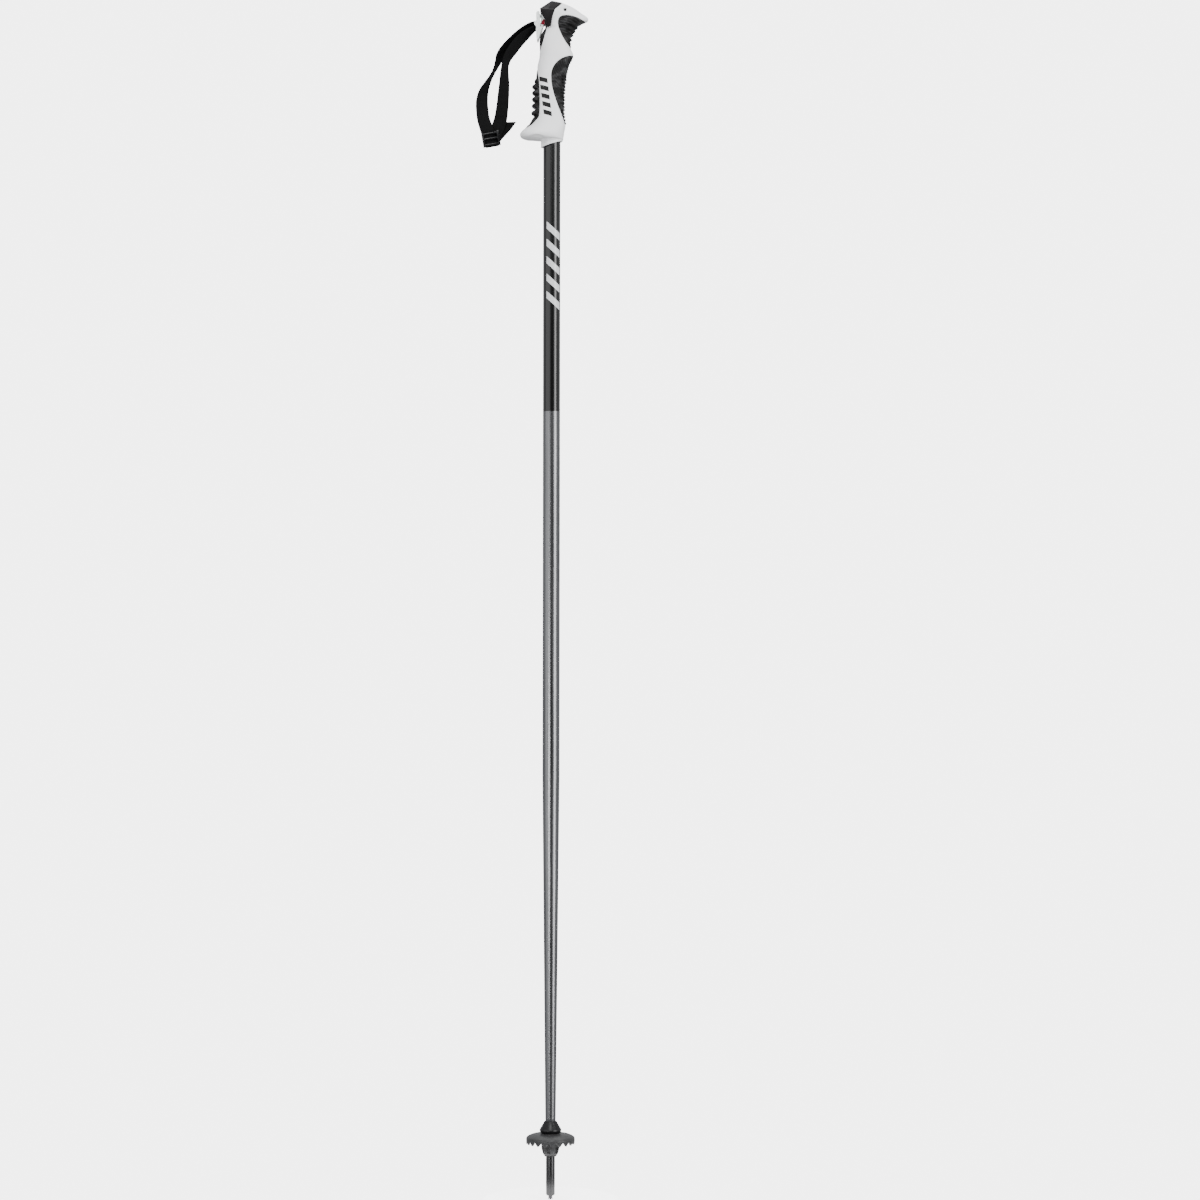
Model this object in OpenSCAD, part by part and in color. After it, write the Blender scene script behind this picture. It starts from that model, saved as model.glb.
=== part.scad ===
// Alpine ski pole: tapered aluminium shaft, moulded grip with a release cap,
// webbing wrist strap with a ladder-lock buckle, snow basket and steel tip.
// +Z runs up the shaft, +X is the side the beak of the grip points to.
// The origin is the lowest point of the tip, on the shaft's axis.

/* [Pole] */
// Length from the tip to the top of the grip
pole_len = 1250; // [1150:10:1350]
// Outside diameter of the shaft's straight upper part
shaft_d = 18; // [17.6:0.1:18.2]
// Outside diameter of the swaged lower end, below the basket
rod_d = 9.5; // [9.2:0.1:9.6]
// Wall thickness of the shaft tube
shaft_wall = 1.0; // [0.8:0.1:1.2]
// Height at which the taper starts
taper_top = 442; // [300:2:600]

/* [Grip] */
// Wall of the grip round the shaft, which the soft pads lie on
socket_wall = 2.4; // [2:0.2:2.8]
// How far the shaft reaches up into the grip, below the grip's top
shaft_stop = 60; // [58:1:80]
// Gap between the release cap and the shell
cap_gap = 0.45; // [0.4:0.05:0.6]

/* [Strap] */
// Width of the webbing
web_w = 14; // [12:0.5:14]
// Thickness of the webbing
web_t = 1.5; // [1.2:0.1:1.6]

/* [Basket] */
// Outside diameter of the basket
basket_d = 51; // [50:1:60]
// Number of teeth round the basket's rim
tooth_count = 20; // [16:1:24]

/* [Hidden] */
$fn = 64;

// Heights up the lower end
tip_out = 4;          // how far the steel tip stands below the tube
rod_bare = 43.8;      // top of the bare stretch that a tip cap slides on to
rod_top = 76;         // top of the straight lower end
swage_top = 84;       // where the long taper ends
swage_r = 5.5;        // radius there
sleeve_top = 81.5;
cone_widest = 72;
cone_foot = 69;
neck_r = 6.5;         // the sleeve's neck, which the basket turns on
neck_foot = 44;
lip_r = 7.2;
basket_top = 68.6;
rim_z = 61.4;         // lower edge of the rim, where the teeth start
tooth_h = 3.8;
hub_foot = 45.9;
run_fit = 0.06;       // radial clearance of a piece that turns

rod_r = rod_d / 2;
seat_r = rod_r - 0.25; // under the stop sleeve
shaft_r = shaft_d / 2;
basket_r = basket_d / 2;
bore_r = shaft_r + 0.02;

// Grip pivots, from the grip's top: [x, z]
cap_axis = [13.8, -11.1];
hook_axis = [-3.65, -21.4];
link_axis = [-15.1, -24.7];
pin_r = 1.5;

// Sections of the grip, from the top down: [z, rear x, front x, half width]
STATIONS = [
    [-0.5, -3.4, 2.6, 4.5], [-2.7, -5.6, 10.7, 8.5], [-8.0, -12.6, 23.0, 11.2],
    [-13.9, -10.9, 31.5, 12.2], [-19.2, -7.3, 38.0, 12.5], [-22.3, -7.3, 35.8, 12.5],
    [-25.0, -6.8, 29.4, 12.5], [-28.0, -7.0, 26.6, 12.6], [-33.1, -8.9, 23.4, 12.8],
    [-39.4, -11.8, 19.6, 13.1], [-49.0, -12.6, 19.8, 13.6], [-57.0, -12.9, 22.5, 14.0],
    [-68.1, -15.1, 17.7, 14.5], [-84.1, -16.7, 14.5, 15.0], [-100.1, -16.9, 13.1, 15.0],
    [-119.0, -17.4, 12.9, 15.0], [-128.9, -21.7, 14.5, 16.0], [-133.1, -28.1, 13.8, 18.4],
    [-136.7, -31.8, 13.0, 20.0], [-140.0, -33.4, 12.5, 20.5], [-142.7, -32.3, 12.1, 19.5],
    [-145.0, -24.0, 11.9, 15.5]];
SIDES = 20;
SQUARENESS = 0.86;    // 1 is an ellipse, less is boxier

function power(v, p) = sign(v) * pow(abs(v), p);
function ring(s) = [for (i = [0 : SIDES - 1])
    let (a = 360 * (i + 0.5) / SIDES)
    [(s[1] + s[2]) / 2 + (s[2] - s[1]) / 2 * power(cos(a), SQUARENESS),
     s[3] * power(sin(a), SQUARENESS), s[0]]];

// Triangles that join rings of n points, with a flat lid at each end
function skin(rings, n) = concat(
    [for (k = [0 : rings - 2], i = [0 : n - 1])
        let (j = (i + 1) % n) [k * n + i, k * n + j, (k + 1) * n + i]],
    [for (k = [0 : rings - 2], i = [0 : n - 1])
        let (j = (i + 1) % n) [k * n + j, (k + 1) * n + j, (k + 1) * n + i]],
    [for (i = [1 : n - 2]) [0, i + 1, i]],
    [for (i = [1 : n - 2]) let (b = (rings - 1) * n) [b, b + i, b + i + 1]]);

// The grip's outer form between two stations
module grip_form(first = 0, last = len(STATIONS) - 1) {
    rings = [for (k = [first : last]) ring(STATIONS[k])];
    polyhedron(points = [for (r = rings, p = r) p], faces = skin(len(rings), SIDES));
}

// A side outline in x and z, as wide as the grip
module slab(outline, half = 30) {
    rotate([90, 0, 0])
        linear_extrude(height = 2 * half, center = true) polygon(outline);
}

// A round bar across the pole at [x, z]
module cross_bar(at, r, half) {
    translate([at[0], 0, at[1]]) rotate([90, 0, 0]) cylinder(r = r, h = 2 * half, center = true);
}

module at_top() {
    translate([0, 0, pole_len]) children();
}

INDEX_OUTLINE = [[33.2, -20.8], [27.3, -17.6], [19.8, -15.1], [12.4, -14.9], [8.1, -16.5],
    [6.3, -21.3], [6.9, -27.1], [10.2, -35.2], [14.5, -42.6], [19.8, -49.6], [40, -49.6],
    [40, -26], [36, -23.5]];
FINGER_OUTLINE = [[21.9, -57.5], [16.7, -57.5], [10.2, -59.7], [4.9, -63.9], [0.1, -71.4],
    [-0.6, -79.9], [1.3, -91.6], [4.9, -104.3], [10.2, -118.2], [14.0, -128.9],
    [30, -128.9], [30, -57.5]];
PALM_OUTLINE = [[-15.3, -71.4], [-13.1, -83.1], [-12.6, -105.4], [-12.6, -116],
    [-14.7, -121.4], [-20.4, -127.5], [-23, -128.6], [-45, -128.6], [-45, -71.4]];
NECK_OUTLINE = [[-5.7, -28.4], [-5.2, -30.9], [-8.9, -41.5], [-12.3, -53.2],
    [-20, -53.2], [-20, -28.4]];
CAP_OUTLINE = [[-0.4, 3], [10.7, 3], [10.7, -2.7], [3.3, -8.6], [0.7, -16.0], [-0.4, -23.5],
    [-1.0, -26.1], [-4.2, -27.4], [-8, -25.6], [-14, -24.0], [-20, -10], [-14, 3]];
BEAK_CORE = [[4, -12], [22, -17.5], [27, -20.5], [22, -24.5], [17.5, -32], [16.3, -40],
    [16.8, -48], [10, -52], [0, -52]];
RIB_HEIGHTS = [-89.4, -95.8, -102.6, -109.6, -116.7];
SLOT_OUTLINE = [[-3, -17.6], [-3, -5.5], [6, -5.2], [16.0, -6.6], [18.2, -8.9],
    [18.2, -13.3], [16.0, -15.5], [6, -17.6]];
WEB_OUTLINE = [[3, -18.4], [-5.0, -18.4], [-6.9, -20.0], [-6.9, -23.2], [-5.0, -24.9],
    [3, -24.9]];

// What the pads lie on: the shaft's socket, and a block under the beak
module grip_core() {
    translate([0, 0, -152.2]) cylinder(r = bore_r + socket_wall, h = 152.2 - shaft_stop + 6);
    slab(BEAK_CORE, 9.8);
}

module shaft_bore() {
    translate([0, 0, -160]) cylinder(r = bore_r, h = 160 - shaft_stop + 2.4);
}

module grip_shell() {
    slot_half = 4.9;
    web_half = 3.8;
    color("white") at_top() {
        difference() {
            union() {
                difference() {
                    grip_form();
                    slab(INDEX_OUTLINE);
                    slab(FINGER_OUTLINE);
                    slab(PALM_OUTLINE);
                    slab(NECK_OUTLINE);
                }
                grip_core();
            }
            slab(CAP_OUTLINE);
            slab(SLOT_OUTLINE, slot_half);
            cross_bar(cap_axis, pin_r, 30);
            shaft_bore();
            // The collar's foot slants up towards the front
            translate([14, 0, -145.5]) rotate([0, -17.5, 0]) translate([-40, -20, -20]) cube([60, 40, 20]);
        }
        difference() {
            slab(WEB_OUTLINE, web_half);
            cross_bar(hook_axis, pin_r, 30);
        }
    }
}

// A pad fills its outline between the grip's skin and the core
module pad(outline, first, last) {
    at_top() difference() {
        intersection() {
            grip_form(first, last);
            slab(outline);
        }
        grip_core();
    }
}

module index_pad() {
    color("#26262a") pad(INDEX_OUTLINE, 3, 11);
}

module finger_pad() {
    color("#26262a") pad(FINGER_OUTLINE, 10, 17);
}

module neck_strip() {
    color("#26262a") pad(NECK_OUTLINE, 6, 11);
}

module palm_pad() {
    rib_h = 4.6;
    reach = 17.6;
    color("#26262a") {
        pad(PALM_OUTLINE, 12, 18);
        at_top() difference() {
            for (z = RIB_HEIGHTS)
                translate([-3.3, 0, z - rib_h / 2]) intersection() {
                    cylinder(r = reach, h = rib_h);
                    translate([-30, -11.5, 0]) cube([18, 23, rib_h]);
                }
            slab([[-15, -60], [0, -60], [0, -140], [-15, -140]]);
        }
    }
}

module head_cap() {
    fork_half = 6.9;
    arm_half = 4.5;
    notch_half = 1.9;
    hub_r = 3.5;
    color("#2b2a2e") at_top() {
        difference() {
            intersection() {
                grip_form(0, 8);
                // The cap keeps its gap to the shell along its front edge
                translate([-cap_gap * 0.9, 0, cap_gap * 0.7]) slab(CAP_OUTLINE);
            }
            // The fork straddles the shell's web and the link
            slab([[-20, -11], [-7, -14.2], [-3.4, -17.8], [10, -17.8], [10, -40], [-20, -40]],
                fork_half);
        }
        difference() {
            union() {
                slab([[-4, -8], [-4, -17.2], [2, -17.2], [13.8, -14.6], [13.8, -7.6],
                      [4, -8.4]], arm_half);
                cross_bar(cap_axis, hub_r, arm_half);
            }
            cross_bar(cap_axis, hub_r + 0.3, notch_half);
            cross_bar(cap_axis, pin_r + run_fit, 30);
        }
    }
}

module cap_pin() {
    color("silver") at_top() cross_bar(cap_axis, pin_r, 11.6);
}

// The torsion spring's coil on the cap's pin
module cap_spring() {
    color("silver") at_top() difference() {
        cross_bar(cap_axis, 3.1, 1.6);
        cross_bar(cap_axis, pin_r + 0.02, 5);
    }
}

module hook_pin() {
    color("silver") at_top() cross_bar(hook_axis, pin_r, 6.3);
}

EAR_OUTLINE = [[-3.65, -18.2], [-9, -16.2], [-13.6, -14.6], [-13.6, -17.4], [-11.6, -18.4],
    [-11.6, -28.6], [-12.6, -33.5], [-9.7, -29.6], [-8.7, -25.6], [-3.65, -24.6]];
KEEPER_OUTLINE = [[-11.4, -24.3], [-8.4, -19.4], [-7.4, -20.2], [-10.0, -25.0]];
UPPER_LOBE = [[-16.3, -13.6], [-15.2, -12.3], [-13.2, -12.3], [-12.9, -14.5], [-12.3, -20.6],
    [-16.3, -20.6]];
LOWER_LOBE = [[-16.4, -29], [-10.0, -28.6], [-12.3, -36.0], [-13.8, -41.5], [-15.2, -41.5],
    [-16.4, -34]];

module strap_link() {
    ear_in = 4.1;
    ear_out = 6.5;
    cheek_in = web_w / 2 + 0.4;
    cheek_out = 9.2;
    color("#eef2ee") at_top() difference() {
        union() {
            slab(EAR_OUTLINE, ear_out);
            cross_bar(hook_axis, 3.2, ear_out);
            slab(UPPER_LOBE, cheek_out);
            slab(LOWER_LOBE, cheek_out);
            cross_bar(link_axis, 3.3, cheek_out);
            slab([[-16.3, -20], [-12.3, -20], [-12.3, -30], [-16.3, -30]], cheek_out);
        }
        // Room for the grip's web between the ears, and for the webbing between the cheeks
        slab([[-8.9, -10], [0, -10], [0, -40], [-8.9, -40]], ear_in);
        slab([[-25, -17], [-11.6, -17], [-11.6, -31.5], [-25, -31.5]], cheek_in);
        cross_bar(link_axis, pin_r, 30);
        cross_bar(hook_axis, pin_r, 30);
        slab(KEEPER_OUTLINE, 30);
    }
}

module link_keeper() {
    color("#8c1f2b") at_top() slab(KEEPER_OUTLINE, 6.5);
}

module link_pin() {
    color("silver") at_top() cross_bar(link_axis, pin_r, 9.2);
}

// Routes of the webbing's middle line: [x, y, z from the grip's top, turn of its width]
REAR_RUN = [[-16.4, 0, -22.4, 0], [-22.6, 0.4, -26.3, -22], [-30.8, 1.4, -32.8, -38],
    [-40.0, 2, -41.3, -45], [-48.9, 2.4, -50.4, -42], [-53.9, 2.4, -57.2, -34],
    [-56.6, 2.2, -63.9, -20], [-59.9, 1.8, -71.9, -8], [-63.5, 1.2, -79.3, -8],
    [-67.6, 0.8, -87.0, -20], [-71.3, 0.6, -95.5, -42], [-72.9, 0.6, -104.3, -58],
    [-72.8, 0.7, -112.2, -66], [-71.6, 1.0, -122.5, -70], [-68.7, 1.6, -132.0, -80],
    [-65.8, 2.2, -139.6, -88], [-64.6, 2.3, -146.5, -90]];
FRONT_RUN = [[-14.1, 0, -27.3, 0], [-21.2, -0.6, -31.0, -20], [-28.3, -1.4, -36.8, -36],
    [-34.6, -2, -43.2, -42], [-41.0, -2.6, -51.6, -42], [-46.2, -3, -59.8, -32],
    [-48.7, -3, -68.0, -28], [-49.4, -2.6, -77.2, -36], [-49.6, -1.8, -86.6, -46],
    [-50.4, -0.6, -97.0, -54], [-51.9, 2.2, -111.6, -62], [-54.0, 4.7, -124.2, -75],
    [-58.2, 5.3, -135.6, -86], [-61.6, 4.6, -144.0, -90]];
TAIL_RUN = [[-61.0, 6.6, -143.6, -90], [-57.6, 7.4, -139.0, -88], [-53.4, 8.3, -134.2, -84],
    [-49.4, 9.0, -129.8, -80], [-45.9, 9.6, -125.2, -78]];
SUBDIVISIONS = 3;

function spline(p, k, u) =
    let (n = len(p) - 1, a = p[max(k - 1, 0)], b = p[k], c = p[min(k + 1, n)],
         d = p[min(k + 2, n)])
    0.5 * (2 * b + (c - a) * u + (2 * a - 5 * b + 4 * c - d) * u * u
        + (3 * b - a - 3 * c + d) * u * u * u);
function smooth_run(p) = concat(
    [for (k = [0 : len(p) - 2], s = [0 : SUBDIVISIONS - 1]) spline(p, k, s / SUBDIVISIONS)],
    [p[len(p) - 1]]);

// Four corners of the webbing at point k: its width turns about the run
function web_ring(p, k) =
    let (n = len(p) - 1,
         ahead = p[min(k + 1, n)] - p[max(k - 1, 0)],
         run = [ahead[0], ahead[1], ahead[2]] / norm([ahead[0], ahead[1], ahead[2]]),
         across = [run[2], 0, -run[0]],
         w = cos(p[k][3]) * [0, 1, 0] + sin(p[k][3]) * across / norm(across),
         width = w - run * (w * run),
         side = width / norm(width) * web_w / 2,
         face = cross(run, side) / norm(side) * web_t / 2,
         at = [p[k][0], p[k][1], p[k][2]])
    [at - side - face, at - side + face, at + side + face, at + side - face];

module webbing(run) {
    p = smooth_run(run);
    points = [for (k = [0 : len(p) - 1], c = web_ring(p, k)) c];
    color("#1d1d1f") at_top() polyhedron(points = points, faces = skin(len(p), 4));
}

module strap_rear() {
    webbing(REAR_RUN);
}

module strap_front() {
    webbing(FRONT_RUN);
}

module strap_tail() {
    webbing(TAIL_RUN);
}

// The webbing's turn round the link's pin
module strap_loop() {
    color("#1d1d1f") at_top() difference() {
        cross_bar(link_axis, 3.1, web_w / 2);
        cross_bar(link_axis, pin_r + run_fit, 30);
    }
}

buckle_at = [-63.6, -144.0];
buckle_tilt = -10;
buckle_w = 18.4;
buckle_h = 15;
bar_r = 1.3;
BAR_OFFSETS = [5.8, 0.4, -5.8];

module on_buckle() {
    translate([buckle_at[0], 0, pole_len + buckle_at[1]]) rotate([0, buckle_tilt, 0]) children();
}

module buckle() {
    rail = 1.8;
    color("#101012") on_buckle() {
        for (side = [-1, 1])
            translate([side * (buckle_w - rail) / 2, 1.2, 0]) cube([rail, 6, buckle_h], center = true);
        for (z = BAR_OFFSETS)
            translate([0, 0, z]) rotate([0, 90, 0]) cylinder(r = bar_r, h = buckle_w - 0.4, center = true);
    }
}

// The webbing's turn round the buckle's lowest bar
module strap_turn() {
    color("#1d1d1f") on_buckle() translate([0, 0, BAR_OFFSETS[2]]) rotate([0, 90, 0])
        difference() {
            cylinder(r = bar_r + 0.1 + web_t, h = web_w, center = true);
            cylinder(r = bar_r + 0.05, h = 40, center = true);
            translate([-20, 0, 0]) cube([40, 40, 40], center = true);
        }
}

module shaft() {
    top = pole_len - shaft_stop;
    r_in = rod_r - shaft_wall;
    color("#6b6c6f") rotate_extrude() polygon([
        [r_in, tip_out], [rod_r - 0.8, tip_out], [rod_r, tip_out + 1.2], [rod_r, rod_bare],
        [seat_r, rod_bare], [seat_r, rod_top], [swage_r, swage_top], [shaft_r, taper_top], [shaft_r, top],
        [shaft_r - shaft_wall, top], [shaft_r - shaft_wall, taper_top],
        [swage_r - shaft_wall, swage_top], [r_in, rod_top]]);
}

module shaft_plug() {
    plug_r = shaft_r - shaft_wall;
    color("#3a3a3d") at_top() {
        translate([0, 0, -shaft_stop]) cylinder(r = shaft_r - 0.1, h = 2);
        translate([0, 0, -shaft_stop - 18]) cylinder(r = plug_r, h = 18.5);
    }
}

module stop_sleeve() {
    color("#17171a") rotate_extrude() polygon([
        [seat_r, neck_foot], [lip_r, neck_foot], [lip_r, neck_foot + 1], [neck_r, neck_foot + 1.7],
        [neck_r, cone_foot], [9.9, cone_foot], [11.5, cone_widest], [7.3, sleeve_top - 2.2],
        [6.2, sleeve_top], [5.3, sleeve_top], [seat_r, rod_top - 0.2]]);
}

module basket() {
    bore = neck_r + run_fit;
    plate = 2.0;
    color("#5c5d60") difference() {
        union() {
            rotate_extrude() polygon([
                [bore, hub_foot], [8.0, hub_foot], [9.4, rim_z - 8], [9.8, rim_z + 2],
                [17, rim_z + 2.6], [basket_r - plate, rim_z], [basket_r - 0.3, rim_z],
                [basket_r, rim_z + 1.5], [basket_r - 2, rim_z + 4.2], [17.2, rim_z + 6.2],
                [9.75, rim_z + 6.6], [9.75, basket_top], [bore, basket_top]]);
            for (i = [0 : tooth_count - 1])
                rotate([0, 0, (i + 0.3) * 360 / tooth_count])
                    translate([basket_r - 1.2, 0, rim_z + 0.5]) rotate([90, 0, 90])
                        linear_extrude(height = 1.6, center = true)
                            polygon([[-2.8, 0], [0, -tooth_h - 0.5], [2.8, 0]]);
        }
        // Lightening pockets round the hub
        for (i = [0 : 5])
            rotate([0, 0, 60 * i + 18]) translate([7.6, -1.9, hub_foot + 2.2]) cube([6, 3.8, 7]);
    }
}

module tip_plug() {
    color("#3a3a3d") translate([0, 0, tip_out + 0.4]) difference() {
        cylinder(r = rod_r - shaft_wall, h = 22);
        translate([0, 0, -1]) cylinder(r = 2.2, h = 15);
    }
}

// The steel tip: a hollow-ground crown with four prongs
module tip_insert() {
    color("silver") difference() {
        cylinder(r = 2.2, h = tip_out + 14);
        translate([0, 0, -0.01]) cylinder(r1 = 1.8, r2 = 0.3, h = 2.4);
        for (a = [0, 90])
            rotate([0, 0, a + 45]) translate([0, 0, 0.4]) cube([6, 1.3, 2.4], center = true);
    }
}

shaft();
shaft_plug();
grip_shell();
index_pad();
finger_pad();
palm_pad();
neck_strip();
head_cap();
cap_pin();
cap_spring();
hook_pin();
strap_link();
link_keeper();
link_pin();
strap_loop();
strap_rear();
strap_front();
strap_turn();
strap_tail();
buckle();
stop_sleeve();
basket();
tip_plug();
tip_insert();
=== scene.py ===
import math

import bmesh
import bpy
import numpy as np
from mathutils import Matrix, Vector


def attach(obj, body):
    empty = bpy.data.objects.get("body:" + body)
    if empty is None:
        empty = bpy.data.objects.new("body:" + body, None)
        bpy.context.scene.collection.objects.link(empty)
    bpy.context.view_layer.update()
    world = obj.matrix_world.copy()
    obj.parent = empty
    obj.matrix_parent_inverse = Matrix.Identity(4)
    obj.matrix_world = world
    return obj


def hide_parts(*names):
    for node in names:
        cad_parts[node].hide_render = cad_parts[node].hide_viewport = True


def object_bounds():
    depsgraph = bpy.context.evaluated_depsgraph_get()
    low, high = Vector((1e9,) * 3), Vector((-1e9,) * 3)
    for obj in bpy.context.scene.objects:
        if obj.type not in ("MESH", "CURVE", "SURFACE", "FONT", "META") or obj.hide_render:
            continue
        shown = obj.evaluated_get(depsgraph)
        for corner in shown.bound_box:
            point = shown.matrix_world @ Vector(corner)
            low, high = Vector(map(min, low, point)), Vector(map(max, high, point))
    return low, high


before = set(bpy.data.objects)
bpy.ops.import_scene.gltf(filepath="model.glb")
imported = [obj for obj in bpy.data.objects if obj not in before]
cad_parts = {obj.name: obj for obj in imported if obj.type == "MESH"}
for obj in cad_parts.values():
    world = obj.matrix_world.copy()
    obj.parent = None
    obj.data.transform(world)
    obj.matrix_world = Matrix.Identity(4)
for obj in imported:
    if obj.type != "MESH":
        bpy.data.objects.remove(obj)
cad_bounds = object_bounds()

# ---------------------------------------------------------------- measures
MM = 0.001
TOP = cad_bounds[1][2] + 0.5 * MM      # the grip's top, which its own heights start from
TOP_MM = TOP / MM
MID_Z = TOP / 2
VIEW_HEIGHT = 1.2521                   # metres of the pole's plane that the picture shows
CAMERA_AWAY = 3.35
CAMERA_X = 0.0509
CAMERA_ROLL = -0.08                    # degrees
COLOUR_SPLIT = 0.6573 * TOP            # black above this height, graphite below
BARE_ROD_TOP = 0.07                    # the shaft is unpainted metal below this height
BARS_FROM, BARS_TO = 0.9345, 1.0250    # heights of the bars on the shaft's black part
DASHES_FROM, DASHES_TO = 0.642, 0.786  # heights of the dashes on its graphite part
SEEN_WORLD = 5.0                       # strength of the background that the camera sees
DARK_SIDE = math.radians(8)            # the room is dim towards here, right of the camera
FLOOR_RADIUS = 0.07
FLOOR_GLOW = 3.6                       # makes the floor as bright as the background


# ---------------------------------------------------------------- camera, floor and light
def make_camera():
    data = bpy.data.cameras.new("camera")
    data.sensor_width = 36
    data.sensor_height = 36
    data.lens = 36 * CAMERA_AWAY / VIEW_HEIGHT
    data.clip_end = 100
    cam = bpy.data.objects.new("camera", data)
    cam.location = (CAMERA_X, -CAMERA_AWAY, MID_Z)
    cam.rotation_euler = (math.pi / 2, math.radians(CAMERA_ROLL), 0)
    bpy.context.collection.objects.link(cam)
    bpy.context.scene.camera = cam


def area_light(name, place, target, size, power, colour=(1, 1, 1)):
    data = bpy.data.lights.new(name, "AREA")
    data.shape = "RECTANGLE"
    data.size, data.size_y = size
    data.energy = power
    data.color = colour
    lamp = bpy.data.objects.new(name, data)
    lamp.location = place
    lamp.rotation_euler = (Vector(target) - Vector(place)).to_track_quat("-Z", "Y").to_euler()
    bpy.context.collection.objects.link(lamp)


def make_studio():
    world = bpy.data.worlds.new("studio")
    bpy.context.scene.world = world
    world.use_nodes = True
    nodes, links = world.node_tree.nodes, world.node_tree.links
    nodes.clear()
    out = nodes.new("ShaderNodeOutputWorld")
    seen = nodes.new("ShaderNodeBackground")
    seen.inputs["Color"].default_value = (1, 1, 1, 1)
    seen.inputs["Strength"].default_value = SEEN_WORLD
    fill = nodes.new("ShaderNodeBackground")
    fill.inputs["Color"].default_value = (0.95, 0.97, 1, 1)
    path = nodes.new("ShaderNodeLightPath")
    mix = nodes.new("ShaderNodeMixShader")
    # the room is dimmer from the front, where the camera stands, and from below
    place = nodes.new("ShaderNodeTexCoord")
    towards = nodes.new("ShaderNodeVectorMath")
    towards.operation = "DOT_PRODUCT"
    towards.inputs[1].default_value = (math.sin(DARK_SIDE), -math.cos(DARK_SIDE), 0)
    links.new(place.outputs["Generated"], towards.inputs[0])
    dark = nodes.new("ShaderNodeMapRange")
    for key, value in (("From Min", 0.905), ("From Max", 0.968), ("To Min", 0.8), ("To Max", 0.03)):
        dark.inputs[key].default_value = value
    links.new(towards.outputs["Value"], dark.inputs["Value"])
    heights = nodes.new("ShaderNodeSeparateXYZ")
    links.new(place.outputs["Generated"], heights.inputs[0])
    low = nodes.new("ShaderNodeMapRange")
    for key, value in (("From Min", -0.5), ("From Max", 0.1), ("To Min", 0.45), ("To Max", 1.0)):
        low.inputs[key].default_value = value
    links.new(heights.outputs[2], low.inputs["Value"])
    power_of = nodes.new("ShaderNodeMath")
    power_of.operation = "MULTIPLY"
    links.new(dark.outputs[0], power_of.inputs[0])
    links.new(low.outputs[0], power_of.inputs[1])
    links.new(power_of.outputs[0], fill.inputs["Strength"])
    links.new(path.outputs["Is Camera Ray"], mix.inputs["Fac"])
    links.new(fill.outputs[0], mix.inputs[1])
    links.new(seen.outputs[0], mix.inputs[2])
    links.new(mix.outputs[0], out.inputs["Surface"])
    area_light("key_right", (2.3, -1.7, 1.0), (0, 0, 0.75), (1.2, 2.8), 95)
    area_light("fill_left", (-2.4, -1.9, 1.1), (0, 0, 0.7), (3.4, 3.0), 42)
    area_light("front_soft", (0.0, -2.4, 3.0), (0, 0, 0.9), (1.6, 1.6), 60)
    area_light("low_front", (-1.0, -2.2, 0.25), (0, 0, 0.06), (0.6, 0.6), 14)
    sun = bpy.data.lights.new("overhead", "SUN")
    sun.energy = 1.8
    sun.angle = math.radians(50)
    lamp = bpy.data.objects.new("overhead", sun)
    lamp.rotation_euler = (math.radians(-14), 0, 0)
    bpy.context.collection.objects.link(lamp)


def make_floor():
    bpy.ops.mesh.primitive_circle_add(vertices=96, radius=FLOOR_RADIUS, fill_type="NGON",
                                      location=(0, 0, 0))
    floor = bpy.context.object
    floor.name = "floor"
    pale = material("floor_pale", (0.93, 0.93, 0.93), 0.9)
    shader_of(pale).inputs["Emission Color"].default_value = (1, 1, 1, 1)
    shader_of(pale).inputs["Emission Strength"].default_value = FLOOR_GLOW
    floor.data.materials.append(pale)


# ---------------------------------------------------------------- materials
def material(name, colour, roughness, metallic=0.0, coat=0.0, sheen=0.0, specular=0.5):
    mat = bpy.data.materials.new(name)
    mat.use_nodes = True
    shader = mat.node_tree.nodes["Principled BSDF"]
    shader.inputs["Base Color"].default_value = (*colour, 1)
    shader.inputs["Roughness"].default_value = roughness
    shader.inputs["Metallic"].default_value = metallic
    shader.inputs["Coat Weight"].default_value = coat
    shader.inputs["Coat Roughness"].default_value = 0.12
    shader.inputs["Sheen Weight"].default_value = sheen
    shader.inputs["Specular IOR Level"].default_value = specular
    return mat


def add(mat, kind, **values):
    made = mat.node_tree.nodes.new("ShaderNode" + kind)
    for key, value in values.items():
        if key in made.inputs:
            made.inputs[key].default_value = value
        else:
            setattr(made, key, value)
    return made


def link(mat, a, b):
    mat.node_tree.links.new(a, b)


def shader_of(mat):
    return mat.node_tree.nodes["Principled BSDF"]


def coords(mat, kind="Object"):
    return add(mat, "TexCoord").outputs[kind]


def math_node(mat, operation, a, b=None, clamp=False):
    made = add(mat, "Math", operation=operation, use_clamp=clamp)
    for socket, value in ((made.inputs[0], a), (made.inputs[1], b)):
        if value is None:
            continue
        if isinstance(value, (int, float)):
            socket.default_value = value
        else:
            link(mat, value, socket)
    return made.outputs[0]


def noise(mat, scale, detail=3.0, stretch=(1, 1, 1), source="Object"):
    mapping = add(mat, "Mapping")
    mapping.inputs["Scale"].default_value = stretch
    link(mat, coords(mat, source), mapping.inputs["Vector"])
    tex = add(mat, "TexNoise", Scale=scale, Detail=detail)
    link(mat, mapping.outputs[0], tex.inputs["Vector"])
    return tex.outputs["Fac"]


def remap(mat, value, low, high, to_low, to_high):
    made = add(mat, "MapRange")
    link(mat, value, made.inputs["Value"])
    for key, number in (("From Min", low), ("From Max", high), ("To Min", to_low), ("To Max", to_high)):
        made.inputs[key].default_value = number
    return made.outputs[0]


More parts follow.
